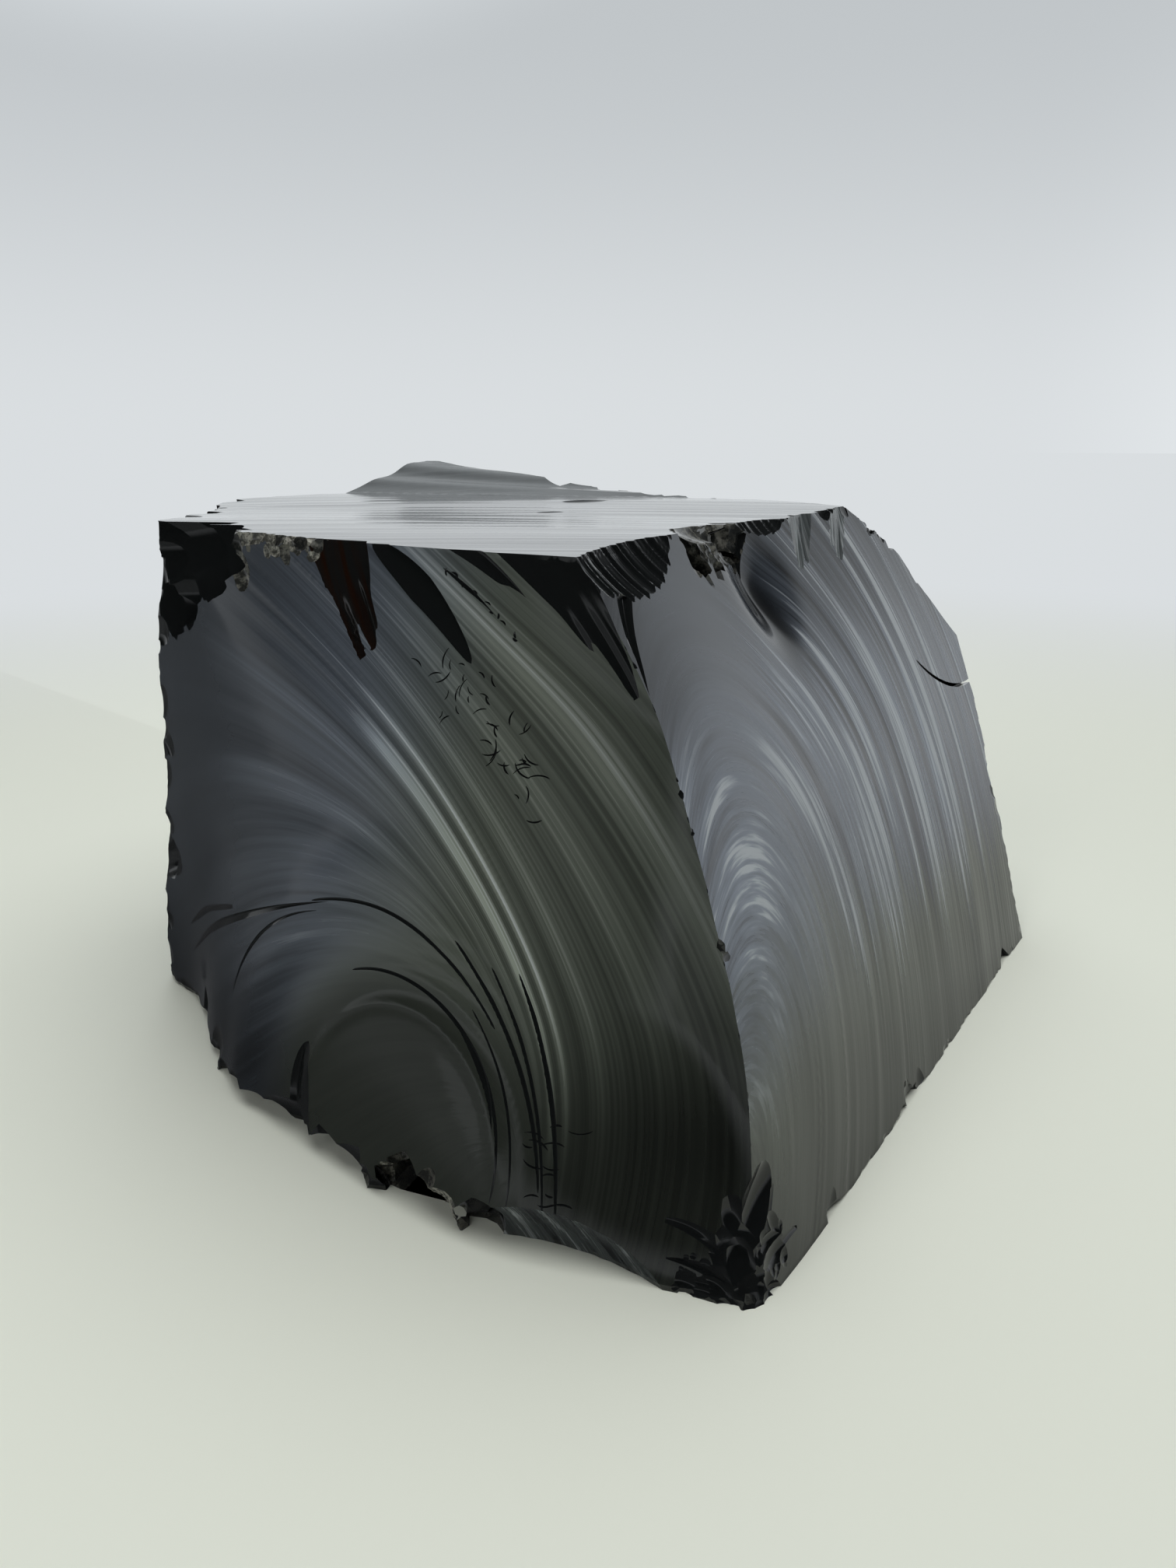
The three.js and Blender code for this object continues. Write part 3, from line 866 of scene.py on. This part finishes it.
def carve(mesh, cuts, first):
    """Cuts all the cutters out of the mesh. Each new face keeps the number of its cut."""
    stone = as_object(mesh, "stone")
    group = bpy.data.collections.new("cutters")
    bpy.context.scene.collection.children.link(group)
    for number, cut in enumerate(cuts, first):
        source = cut.mesh.attributes.new("source", "INT", "FACE")
        source.data.foreach_set("value", np.full(len(cut.mesh.polygons), number, np.int32))
        as_object(cut.mesh, "cutter", group)
    boolean = stone.modifiers.new("carve", "BOOLEAN")
    boolean.operation = "DIFFERENCE"
    boolean.solver = "MANIFOLD"
    boolean.operand_type = "COLLECTION"
    boolean.collection = group
    depsgraph = bpy.context.evaluated_depsgraph_get()
    carved = bpy.data.meshes.new_from_object(stone.evaluated_get(depsgraph))
    for made in [stone, *group.objects]:
        bpy.data.objects.remove(made)
    bpy.data.collections.remove(group)
    for cut in cuts:
        bpy.data.meshes.remove(cut.mesh)
    return carved


def block_mesh():
    """The block that the stone is cut from, standing on the floor."""
    shape = bmesh.new()
    bmesh.ops.create_cube(shape, size=1)
    bmesh.ops.scale(shape, vec=BLOCK, verts=shape.verts)
    bmesh.ops.translate(shape, vec=(0, 0, BLOCK[2] / 2), verts=shape.verts)
    mesh = bpy.data.meshes.new("block")
    shape.to_mesh(mesh)
    shape.free()
    mesh.attributes.new("source", "INT", "FACE")
    return mesh


def keep_largest(mesh):
    """Drops any splinter that the cuts set free."""
    shape = bmesh.new()
    shape.from_mesh(mesh)
    waiting = set(shape.verts)
    bodies = []
    while waiting:
        seed = waiting.pop()
        body, front = [seed], [seed]
        while front:
            vertex = front.pop()
            for link in vertex.link_edges:
                other = link.other_vert(vertex)
                if other in waiting:
                    waiting.discard(other)
                    body.append(other)
                    front.append(other)
        bodies.append(body)
    for splinter in sorted(bodies, key=len)[:-1]:
        bmesh.ops.delete(shape, geom=splinter, context="VERTS")
    shape.to_mesh(mesh)
    shape.free()


def read(items, name, kind=float, width=1):
    """One property of every item of a mesh, such as the place of every vertex."""
    values = np.empty(len(items) * width, kind)
    items.foreach_get(name, values)
    return values.reshape(-1, width) if width > 1 else values


def exact_normals(cut, u, v):
    """Normals of the surface that a cut leaves, from the slopes of its height."""
    slope_u = (cut.height(u + SLOPE_STEP, v) - cut.height(u - SLOPE_STEP, v)) / (2 * SLOPE_STEP)
    slope_v = (cut.height(u, v + SLOPE_STEP) - cut.height(u, v - SLOPE_STEP)) / (2 * SLOPE_STEP)
    tilt = np.stack([-slope_u, -slope_v, np.ones_like(slope_u)], -1)
    tilt /= np.linalg.norm(tilt, axis=1, keepdims=True)
    return tilt @ cut.plane.basis


def corner_data(mesh, cuts):
    """Exact normals, grain coordinates and painted sheen finish for every corner, from its cut."""
    corner_vertex = read(mesh.loops, "vertex_index", np.int32)
    loops_in = read(mesh.polygons, "loop_total", np.int32)
    points = read(mesh.vertices, "co", width=3)[corner_vertex]
    normals = np.repeat(read(mesh.polygons, "normal", width=3), loops_in, axis=0)
    source = np.repeat(read(mesh.attributes["source"].data, "value", np.int32), loops_in)
    grain, finish, damage_and_sheen = (np.zeros((len(points), 3)) for _ in range(3))
    for number in np.unique(source[source > 0]):
        cut = cuts[number - 1]
        here = np.nonzero(source == number)[0]
        u, v, _ = cut.plane.local(points[here]).T
        normals[here] = exact_normals(cut, u, v)
        across, along = cut.grain(u, v)
        grain[here] = np.stack([across, along, np.full_like(across, number * GRAIN_APART)], -1)
        finish[here] = np.stack(cut.finish(u, v), -1)
        damage_and_sheen[here, :2] = cut.damage_and_sheen
        damage_and_sheen[here, 2] = cut.ribbons(u, v)
    return normals, {"grain": grain, "finish": finish, "damage_and_sheen": damage_and_sheen}


def corner_attribute(mesh, name, values):
    attribute = mesh.attributes.new(name, "FLOAT_VECTOR", "CORNER")
    attribute.data.foreach_set("vector", values.astype(np.float32).ravel())


def make_stone():
    """The carved stone, and the box of its faces alone, which small chips don't change."""
    faces = [face_cut(*FACES[name], *FINE[name], RIBBONED.get(name)) for name in FACES]
    scars = upper_left_scars() + lower_left_scars() + fine_cracks() + right_scars() + top_scars()
    scars += back_scars() + small_chips()
    mesh = carve(block_mesh(), faces, 1)
    corners = np.array([v.co for v in mesh.vertices])
    mesh = carve(mesh, scars, 1 + len(faces))
    keep_largest(mesh)
    normals, looks = corner_data(mesh, faces + scars)
    for name, values in looks.items():
        corner_attribute(mesh, name, values)
    mesh.polygons.foreach_set("use_smooth", np.ones(len(mesh.polygons), bool))
    mesh.normals_split_custom_set(normals.tolist())
    mesh.name = "obsidian"
    return mesh, corners.min(0), corners.max(0)


def fit_to_frame(mesh, low, high):
    """Scales the stone from millimetres to the frame, and stands it inside the frame's box."""
    room = np.array(BOX_HIGH) - np.array(BOX_LOW)
    scale = float((room / (high - low)).min())
    middle = (low + high) / 2
    target = (np.array(BOX_LOW) + np.array(BOX_HIGH)) / 2
    shift = target - middle * scale
    shift[2] = BOX_LOW.z - low[2] * scale
    mesh.transform(Matrix.Translation(Vector(shift)) @ Matrix.Scale(scale, 4))
    return scale, Vector(shift)


stone_mesh, stone_low, stone_high = make_stone()
UNIT, SHIFT = fit_to_frame(stone_mesh, stone_low, stone_high)
stone = as_object(stone_mesh, "obsidian")


# ---- nodes

def new_material(name):
    material = bpy.data.materials.new(name)
    material.use_nodes = True
    return material, material.node_tree


def node(tree, kind, source=None, **settings):
    """A new node. Its first input is the source, when there is one."""
    made = tree.nodes.new(kind)
    for name, value in settings.items():
        setattr(made, name, value)
    if source is not None:
        tree.links.new(source, made.inputs[0])
    return made


def plug(tree, socket, value):
    """Gives an input its value: another socket, a number, or a colour."""
    if isinstance(value, bpy.types.NodeSocket):
        tree.links.new(value, socket)
    else:
        socket.default_value = (*value, 1) if isinstance(value, tuple) else value


def maths(tree, operation, a, b, clamp=False):
    made = node(tree, "ShaderNodeMath", operation=operation, use_clamp=clamp)
    plug(tree, made.inputs[0], a)
    plug(tree, made.inputs[1], b)
    return made.outputs[0]


def times(tree, a, b, clamp=False):
    return maths(tree, "MULTIPLY", a, b, clamp)


def plus(tree, a, b):
    return maths(tree, "ADD", a, b)


def spread(tree, value, start, end, low, high, kind="SMOOTHSTEP"):
    """Maps a value from start..end to low..high."""
    made = node(tree, "ShaderNodeMapRange", value, interpolation_type=kind)
    for place, number in enumerate((start, end, low, high), 1):
        made.inputs[place].default_value = number
    return made.outputs[0]


def blend(tree, share, first, second):
    """A mix of two colours. Each is a socket or a plain colour."""
    made = node(tree, "ShaderNodeMix", share, data_type="RGBA")
    plug(tree, made.inputs[6], first)
    plug(tree, made.inputs[7], second)
    return made.outputs[2]


def noise(tree, where, scale, detail, roughness):
    made = node(tree, "ShaderNodeTexNoise", where)
    for name, number in (("Scale", scale), ("Detail", detail), ("Roughness", roughness)):
        made.inputs[name].default_value = number
    return made.outputs["Fac"]


def parts(tree, vector):
    return node(tree, "ShaderNodeSeparateXYZ", vector).outputs


def distance(tree, where):
    return node(tree, "ShaderNodeVectorMath", where, operation="LENGTH").outputs["Value"]


# ---- the glass

BLACK_GLASS = (0.0015, 0.0017, 0.0017)
# painted sheen: pale olive and violet colours standing in for the soft satin sheen of the breaks
OLIVE_PAINTED_SHEEN = (0.250, 0.283, 0.235)
VIOLET_PAINTED_SHEEN = (0.243, 0.280, 0.345)
# painted highlight: the pale lines of the brightest sheen streaks
STREAK_HIGHLIGHT = (0.45, 0.48, 0.50)
# crushed glass: its own frosted white, with glints painted in as pale specks
CRUSHED_GLINT_WHITE = (0.50, 0.49, 0.42)
THIN_BROWN = (0.011, 0.0038, 0.0015)
GLASS_IOR = 1.5
# streaks: how dense across the fronts, how dense along them, and how detailed
FINE_STREAKS = (2.6, 0.35, 4)
MIDDLE_STREAKS = (0.55, 0.16, 3)
COARSE_STREAKS = (0.14, 0.10, 2)
SPARKLE_SCALE = 900    # grains of crushed glass, to the metre
RELIEF_STRENGTH = 0.6
RELIEF_DEPTH = 0.00016

# painted sheen in pale ribbons along the fronts: which front (the grain's first number), half width,
# strength
RIBBONS = [(49.6, 1.0, 0.08), (54.4, 1.8, 0.16), (58.8, 2.0, 0.80), (62.8, 1.5, 0.40),
           (68.8, 2.0, 0.12), (75.6, 2.4, 0.14), (81.2, 2.4, 0.18)]
RIBBON_START, RIBBON_END = 40, 90


def ribbon_ramp(tree, front):
    """The pale ribbons of painted sheen, as a ramp over the fronts they follow."""
    share = spread(tree, front, RIBBON_START, RIBBON_END, 0, 1, "LINEAR")
    ramp = node(tree, "ShaderNodeValToRGB", share)
    stops = ramp.color_ramp
    stops.interpolation = "EASE"
    stops.elements[0].color = stops.elements[1].color = (0, 0, 0, 1)
    for middle, half, strength in RIBBONS:
        for front_size, value in ((middle - half, 0.0), (middle, strength), (middle + half, 0.0)):
            stop = stops.elements.new((front_size - RIBBON_START) / (RIBBON_END - RIBBON_START))
            stop.color = (value, value, value, 1)
    return ramp.outputs[0]


def streaks(tree, grain, across, along, detail):
    """Noise drawn out along the fronts of the break."""
    stretch = node(tree, "ShaderNodeVectorMath", grain, operation="MULTIPLY")
    stretch.inputs[1].default_value = (across, along, 1.0)
    return noise(tree, stretch.outputs[0], 1.0, detail, 0.55)


def streaked_level(tree, grain, middle, finish, ribbons):
    """How pale the painted sheen is in the streaks and ribbons, and how far the streaks swing it."""
    painted_sheen, streak, _ = finish
    fine = streaks(tree, grain, *FINE_STREAKS)
    coarse = streaks(tree, grain, *COARSE_STREAKS)
    mixed = plus(tree, times(tree, fine, 0.45), times(tree, middle, 0.55))
    swing = times(tree, spread(tree, mixed, 0.37, 0.63, -1, 1, "LINEAR"), streak)
    broad = times(tree, spread(tree, coarse, 0.3, 0.7, -0.3, 0.3, "LINEAR"), streak)
    level = times(tree, painted_sheen, plus(tree, broad, 1.0))
    level = plus(tree, level, times(tree, ribbon_ramp(tree, parts(tree, grain)[0]), ribbons))
    level = times(tree, level, plus(tree, times(tree, swing, 0.9), 1.0), clamp=True)
    return level, swing


def glass_material():
    """Black glass: mirror black where it broke cleanly, with a satin sheen painted into its colour,
    streaked along the fronts.
    """
    material, tree = new_material("obsidian_glass")
    shader = tree.nodes["Principled BSDF"].inputs
    shader["IOR"].default_value = GLASS_IOR
    grain, finish, damage_and_sheen = (node(tree, "ShaderNodeAttribute", attribute_name=name).outputs["Vector"]
                             for name in ("grain", "finish", "damage_and_sheen"))
    finish, (pale, thin, ribbons) = parts(tree, finish), parts(tree, damage_and_sheen)
    middle = streaks(tree, grain, *MIDDLE_STREAKS)
    level, swing = streaked_level(tree, grain, middle, finish, ribbons)

    # painted sheen: the level blends the black glass towards the pale sheen colours
    colour = blend(tree, level, BLACK_GLASS, blend(tree, finish[2], OLIVE_PAINTED_SHEEN, VIOLET_PAINTED_SHEEN))
    # painted highlights: where the streaks swing the sheen up, the colour is blended towards pale
    # streak lines
    lines = spread(tree, times(tree, swing, level), 0.08, 0.50, 0, 0.8)
    colour = blend(tree, lines, colour, STREAK_HIGHLIGHT)
    where = node(tree, "ShaderNodeTexCoord").outputs["Object"]
    sparkle = noise(tree, where, SPARKLE_SCALE, 4, 0.7)
    # crushed glass: pale frosting of its own, partly painted glints in the specks of the sparkle noise
    crushed = times(tree, spread(tree, sparkle, 0.42, 0.62, 0.12, 1), pale, clamp=True)
    colour = blend(tree, crushed, colour, CRUSHED_GLINT_WHITE)
    fibres = times(tree, spread(tree, middle, 0.46, 0.66, 0.1, 1), thin)
    plug(tree, shader["Base Color"], blend(tree, fibres, colour, THIN_BROWN))

    rough = spread(tree, maths(tree, "MAXIMUM", level, crushed), 0, 0.6, 0.06, 0.34)
    rough = plus(tree, rough, spread(tree, swing, 0, 0.8, 0, 0.16))
    plug(tree, shader["Roughness"], rough)
    relief = node(tree, "ShaderNodeBump")
    plug(tree, relief.inputs["Strength"], RELIEF_STRENGTH)
    plug(tree, relief.inputs["Distance"], RELIEF_DEPTH)
    plug(tree, relief.inputs["Height"],
         plus(tree, times(tree, middle, finish[1]), times(tree, sparkle, pale)))
    plug(tree, shader["Normal"], relief.outputs[0])
    return material


stone_mesh.materials.clear()
stone_mesh.materials.append(glass_material())
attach(stone, "root")
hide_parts(NODE)


# ---- studio

HORIZON = (0.70, 0.73, 0.75)
BACKDROP = (0.53, 0.56, 0.58)
FLOOR = (0.80, 0.83, 0.73)
FLOOR_RADIUS = 6.0
FLOOR_ROUGHNESS = 0.6
FLOOR_FADE = (0.16, 0.55)        # the floor fades into the horizon between these distances
FLAG = [(-6, 6), (-6, -6), (0.016, -6), (0.016, -0.05), (-0.06, 0.02), (-0.06, 0.1)]
FLAG_LIFT = 0.0005
CARD = [(-1.5, 3, 0.1), (1.2, 3, 0.1), (1.2, 3, 1.1), (-1.5, 3, 1.1)]
CARD_STRENGTH = 1.3
EYE = (-4.2, -162, 81)           # the camera's place, in millimetres of the stone
EYE_DOWN = 16.5                  # how far it looks down, in degrees
LENS = 27.04
SENSOR = 36
CLIP_START = 0.005
# lamps: name, place, size and power
LAMPS = [("overhead", (0.1, 0.1, 1.0), 1.3, 9.0), ("window", (-0.55, -0.65, 0.5), 0.6, 2.0)]
# bright patches of the surroundings: direction, where each starts and is full, and its gain
RIGHT_PATCH = ((0.88, 0.47, 0.03), 0.72, 1.0, 0.3)
BEHIND_PATCH = ((-0.21, 0.66, 0.72), 0.84, 1.0, 1.9)


def lobe(tree, where, direction, start, end, gain):
    """A soft bright patch of the surroundings about one direction."""
    dot = node(tree, "ShaderNodeVectorMath", where, operation="DOT_PRODUCT")
    dot.inputs[1].default_value = unit(direction)
    return spread(tree, dot.outputs["Value"], start, end, 0, gain)


def make_world():
    """Soft light all round: pale low down, bright overhead at the back, dim high up in front."""
    world = bpy.data.worlds.new("studio")
    bpy.context.scene.world = world
    world.use_nodes = True
    tree = world.node_tree
    where = node(tree, "ShaderNodeTexCoord").outputs["Generated"]
    x, y, z = parts(tree, where)
    colour = blend(tree, spread(tree, z, 0, 0.3, 0, 1), HORIZON, BACKDROP)
    back = spread(tree, plus(tree, y, times(tree, x, 0.55)), 0.25, 0.55, 0, 1)
    front = maths(tree, "SUBTRACT", 1.0, back)
    back_band = spread(tree, z, 0.32, 0.48, 1.0, 0.06)
    front_band = spread(tree, z, 0.02, 0.16, 0.7, 0.02)
    low = plus(tree, times(tree, back_band, back), times(tree, front_band, front))
    right = lobe(tree, where, *RIGHT_PATCH)
    behind = lobe(tree, where, *BEHIND_PATCH)
    background = tree.nodes["Background"].inputs
    plug(tree, background["Color"], colour)
    plug(tree, background["Strength"], plus(tree, low, plus(tree, right, behind)))


def glow(tree, strength):
    """An even pale glow of the given strength, a number or a socket."""
    made = node(tree, "ShaderNodeEmission")
    plug(tree, made.inputs["Color"], HORIZON)
    plug(tree, made.inputs["Strength"], strength)
    return made.outputs[0]


def show(tree, shading):
    plug(tree, tree.nodes["Material Output"].inputs["Surface"], shading)


def floor_material():
    """A pale matt floor that fades into the horizon."""
    material, tree = new_material("pale_floor")
    shader = tree.nodes["Principled BSDF"]
    plug(tree, shader.inputs["Base Color"], FLOOR)
    plug(tree, shader.inputs["Roughness"], FLOOR_ROUGHNESS)
    far = distance(tree, node(tree, "ShaderNodeTexCoord").outputs["Object"])
    mix = node(tree, "ShaderNodeMixShader", spread(tree, far, *FLOOR_FADE, 0, 1))
    plug(tree, mix.inputs[1], shader.outputs[0])
    plug(tree, mix.inputs[2], glow(tree, 1.0))
    show(tree, mix.outputs[0])
    return material


def flag_material():
    """A dim glow, weakest near the stone and towards the back."""
    material, tree = new_material("dim_flag")
    where = node(tree, "ShaderNodeTexCoord").outputs["Object"]
    near = spread(tree, distance(tree, where), 0.06, 0.2, 0.08, 0.33)
    toward = node(tree, "ShaderNodeVectorMath", where, operation="NORMALIZE").outputs[0]
    side = spread(tree, parts(tree, toward)["Y"], -0.05, 0.45, 1.0, 0.3)
    show(tree, glow(tree, times(tree, near, side)))
    return material


def card_material():
    material, tree = new_material("bright_card")
    show(tree, glow(tree, CARD_STRENGTH))
    return material


def make_floor():
    shape = bmesh.new()
    bmesh.ops.create_circle(shape, cap_ends=True, segments=96, radius=FLOOR_RADIUS)
    mesh = bpy.data.meshes.new("floor")
    shape.to_mesh(mesh)
    shape.free()
    floor = as_object(mesh, "floor")
    floor.location = (0, 0, BOX_LOW.z)
    mesh.materials.append(floor_material())


def make_sheet(name, corners, material):
    """A sheet that is there only for the glass to reflect."""
    mesh = bpy.data.meshes.new(name)
    mesh.from_pydata(corners, [], [tuple(range(len(corners)))])
    mesh.materials.append(material)
    sheet = as_object(mesh, name)
    sheet.visible_camera = sheet.visible_diffuse = sheet.visible_shadow = False


def make_lamp(name, place, size, power):
    """A large soft lamp that lights the glass, with its painted sheen, and the floor, with no mirror
    image.
    """
    data = bpy.data.lights.new(name, "AREA")
    data.shape = "DISK"
    data.size = size
    data.energy = power
    lamp = as_object(data, name)
    lamp.location = place
    lamp.rotation_euler = (-Vector(place)).to_track_quat("-Z", "Y").to_euler()
    lamp.visible_glossy = False


def make_camera():
    """The photograph's viewing angle: close, a little above the top edge, looking down at it."""
    data = bpy.data.cameras.new("camera")
    camera = as_object(data, "camera")
    data.sensor_width = SENSOR
    data.lens = LENS
    data.clip_start = CLIP_START
    camera.location = Vector(EYE) * UNIT + SHIFT
    camera.rotation_euler = (math.radians(90 - EYE_DOWN), 0, 0)
    bpy.context.scene.camera = camera


make_world()
make_floor()
make_sheet("flag", [(x, y, BOX_LOW.z + FLAG_LIFT) for x, y in FLAG], flag_material())
make_sheet("card", CARD, card_material())
for lamp in LAMPS:
    make_lamp(*lamp)
make_camera()
bpy.context.scene.view_settings.view_transform = "Standard"
